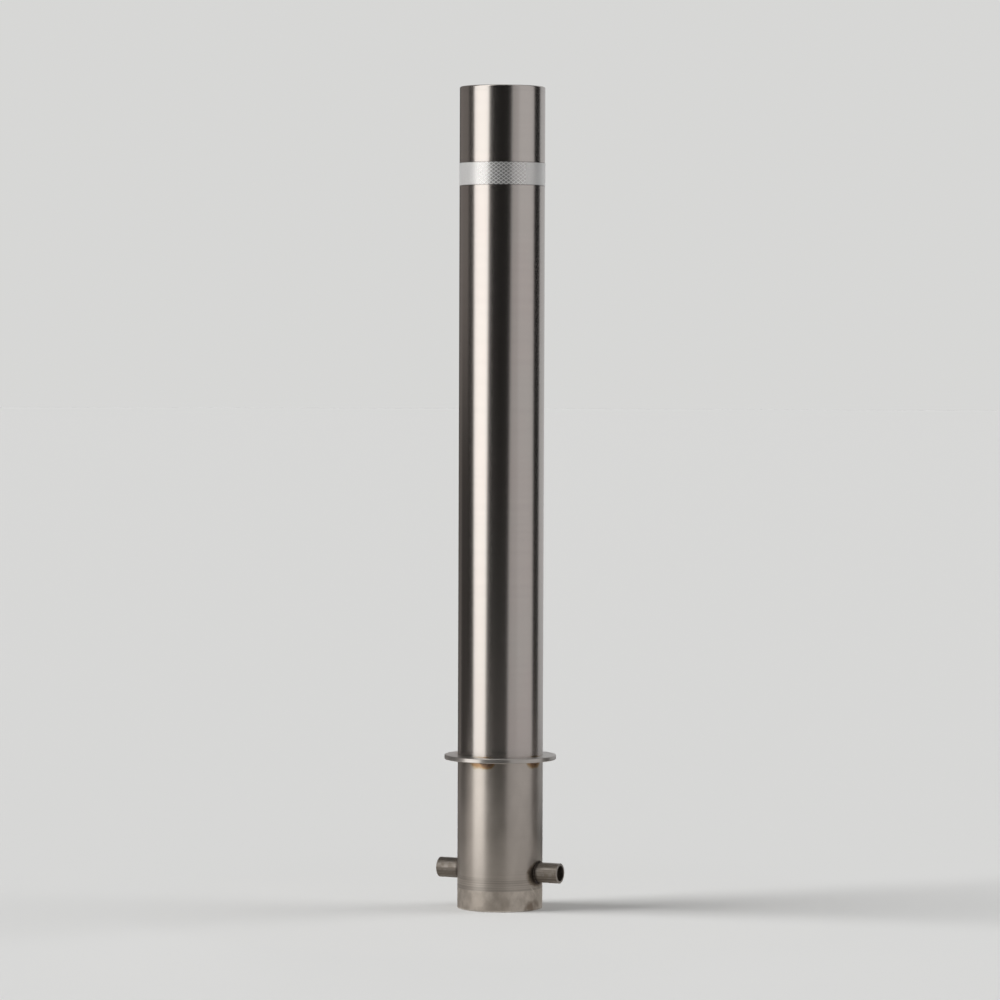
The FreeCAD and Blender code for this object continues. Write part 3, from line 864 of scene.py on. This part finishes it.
rounded = maths(ripples, "SQRT", maths(ripples, "MAXIMUM", rounded, least_taper))
taper = put(ripples, "ShaderNodeMix", {0: given["Tapered Ends"], 2: 1.0, 3: rounded}).outputs[0]
profile_terms = {"Resolution": bead_sides, "Radius": given["Bead Radius"]}
profile = put(ripples, "GeometryNodeCurvePrimitiveCircle", profile_terms).outputs[0]
bead_terms = {
    "Curve": run, "Profile Curve": profile, "Fill Caps": True,
    "Scale": maths(ripples, "MULTIPLY", swell, taper),
}
bead = put(ripples, "GeometryNodeCurveToMesh", bead_terms).outputs[0]
bead = put(ripples, "GeometryNodeSetShadeSmooth", {0: bead}).outputs[0]
bead = put(ripples, "GeometryNodeRealizeInstances", {0: bead}).outputs[0]
bead = put(ripples, "GeometryNodeSetMaterial", {0: bead, "Material": given["Material"]}).outputs[0]
put(ripples, "NodeGroupOutput", {0: bead})


def lay_beads(name, runs, closed, settings):
    """Lays a rippled bead along each run of points, and returns them as one plain mesh."""
    vertices, edges = [], []
    for points in runs:
        first = len(vertices)
        vertices += points
        edges += [(first + i, first + i + 1) for i in range(len(points) - 1)]
        if closed:
            edges.append((first + len(points) - 1, first))
    mesh = bpy.data.meshes.new(name)
    mesh.from_pydata(vertices, edges, [])
    welds = bpy.data.objects.new(name, mesh)
    bpy.context.scene.collection.objects.link(welds)
    laying = welds.modifiers.new("laying", "NODES")
    laying.node_group = ripples
    for label, value in settings.items():
        laying[bead_inputs[label]] = value
    bpy.context.view_layer.update()
    laid = bpy.data.meshes.new_from_object(welds.evaluated_get(bpy.context.evaluated_depsgraph_get()))
    welds.modifiers.remove(laying)
    welds.data = laid
    shape = bmesh.new()
    shape.from_mesh(laid)
    bmesh.ops.recalc_face_normals(shape, faces=shape.faces)
    shape.to_mesh(laid)
    shape.free()
    return welds


def weld_steel(name, dark, pale):
    """Weld metal left as it cooled, blotched between two colours of oxidised crust, with blue patches.
    """
    steel = Steel(name, "Z", roughness=0.58, anisotropy=0.0, grain=700)
    tree = steel.tree
    crust = spread(tree, noise(tree, steel.place, (420, 420, 420), 4), 0.38, 0.62, 0, 1)
    blue = spread(tree, noise(tree, steel.place, (130, 130, 130), 2), 0.55, 0.70, 0, 0.5)
    colour = mixed(tree, crust, dark, pale)
    colour = mixed(tree, blue, colour, (0.13, 0.13, 0.17))
    return steel.finish(colour, relief=0.00002)


tack_length = 0.016
tack_steps = 16
tack_level = -0.0009
tack_path_radius = tube_radius + 0.0013
tack_runs = []
for bearing in tack_bearings:
    points = []
    for step in range(tack_steps + 1):
        turn = bearing + (step / tack_steps - 0.5) * tack_length / tube_radius
        across, back = tack_path_radius * math.cos(turn), tack_path_radius * math.sin(turn)
        points.append((across, back, tack_level))
    tack_runs.append(points)
tacks = lay_beads("tack_welds", tack_runs, False, {
    "Bead Radius": 0.0023, "Ripple Pitch": 0.0016, "Ripple Depth": 0.12,
    "Tapered Ends": 1.0, "Seed": 3.0,
    "Material": weld_steel("tack_metal", (0.20, 0.145, 0.105), (0.42, 0.31, 0.22)),
})
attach(tacks, "root")
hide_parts("flange_tack_welds")

# The anchor bar is a sawn length of small tube, pushed through the root. It keeps its rough
# brownish mill finish, with draw lines along it and a brighter edge where the saw has cut.
bar_half = bar_box[1].x
bar_wall = 0.0032
bar_bore = bar_radius - bar_wall
bar = turned("bar", outline(
    (bar_bore, -bar_half),
    (bar_radius - deburr, -bar_half),
    (bar_radius, -bar_half + deburr),
    (bar_radius, bar_half - deburr),
    (bar_radius - deburr, bar_half),
    (bar_bore, bar_half),
), axis="X", level=bar_level)
steel = Steel("bar_steel", "X", roughness=0.46, anisotropy=0.0, grain=260, level=bar_level)
tree = steel.tree
bore_colour_end = bar_bore + 0.0001
wall_colour_start = bar_bore + 0.0004
painted_joint_shade_full = 0.0012
painted_joint_shade_end = 0.0042
draw_lines = spread(tree, noise(tree, steel.place, (16, 420, 420), 3), 0.35, 0.65, 0, 1)
scale_spots = spread(tree, noise(tree, steel.place, (190, 190, 190), 5), 0.42, 0.62, 0, 1)
colour = mixed(tree, draw_lines, (0.20, 0.184, 0.167), (0.36, 0.335, 0.308))
colour = mixed(tree, maths(tree, "MULTIPLY", scale_spots, 0.55), colour, (0.25, 0.218, 0.185))
past_end = maths(tree, "SUBTRACT", maths(tree, "ABSOLUTE", steel.x), bar_half)
sawn = spread(tree, past_end, -deburr * 1.4, -deburr * 0.6, 0, 1)
colour = mixed(tree, sawn, colour, (0.50, 0.48, 0.455))
inside = spread(tree, steel.radius, bore_colour_end, wall_colour_start, 1, 0)
colour = mixed(tree, inside, colour, (0.34, 0.31, 0.28))
# Near the tube's wall the bar is darkened by painted shade where it meets the tube.
from_wall = maths(tree, "SUBTRACT", maths(tree, "ABSOLUTE", steel.x), tube_radius)
painted_joint_shade = spread(tree, from_wall, painted_joint_shade_full, painted_joint_shade_end, 0.75, 0)
colour = mixed(tree, painted_joint_shade, colour, (0.09, 0.080, 0.072))
steel.roughness = spread(tree, scale_spots, 0, 1, 0.36, 0.50)
bar.data.materials.append(steel.finish(colour, relief=0.00002))
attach(bar, "root")
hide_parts("anchor_bar")

# A fillet weld runs all round the bar on each side and follows the saddle line on the tube. It
# was never cleaned, so it is nearly black with oxide.
fillet_radius = 0.0015
fillet_offset = 0.0005
saddle_steps = 72
saddles = []
for side in (-1, 1):
    points = []
    for step in range(saddle_steps):
        turn = 2 * math.pi * step / saddle_steps
        reach = bar_radius + fillet_offset
        across = reach * math.cos(turn)
        out = math.sqrt(tube_radius ** 2 - across ** 2) + fillet_offset
        points.append((side * out, across, bar_level + reach * math.sin(turn)))
    saddles.append(points)
fillets = lay_beads("bar_welds", saddles, True, {
    "Bead Radius": fillet_radius, "Ripple Pitch": 0.0019, "Ripple Depth": 0.12,
    "Tapered Ends": 0.0, "Seed": 8.0,
    "Material": weld_steel("fillet_metal", (0.055, 0.048, 0.043), (0.13, 0.112, 0.097)),
})
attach(fillets, "root")
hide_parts("anchor_bar_welds")
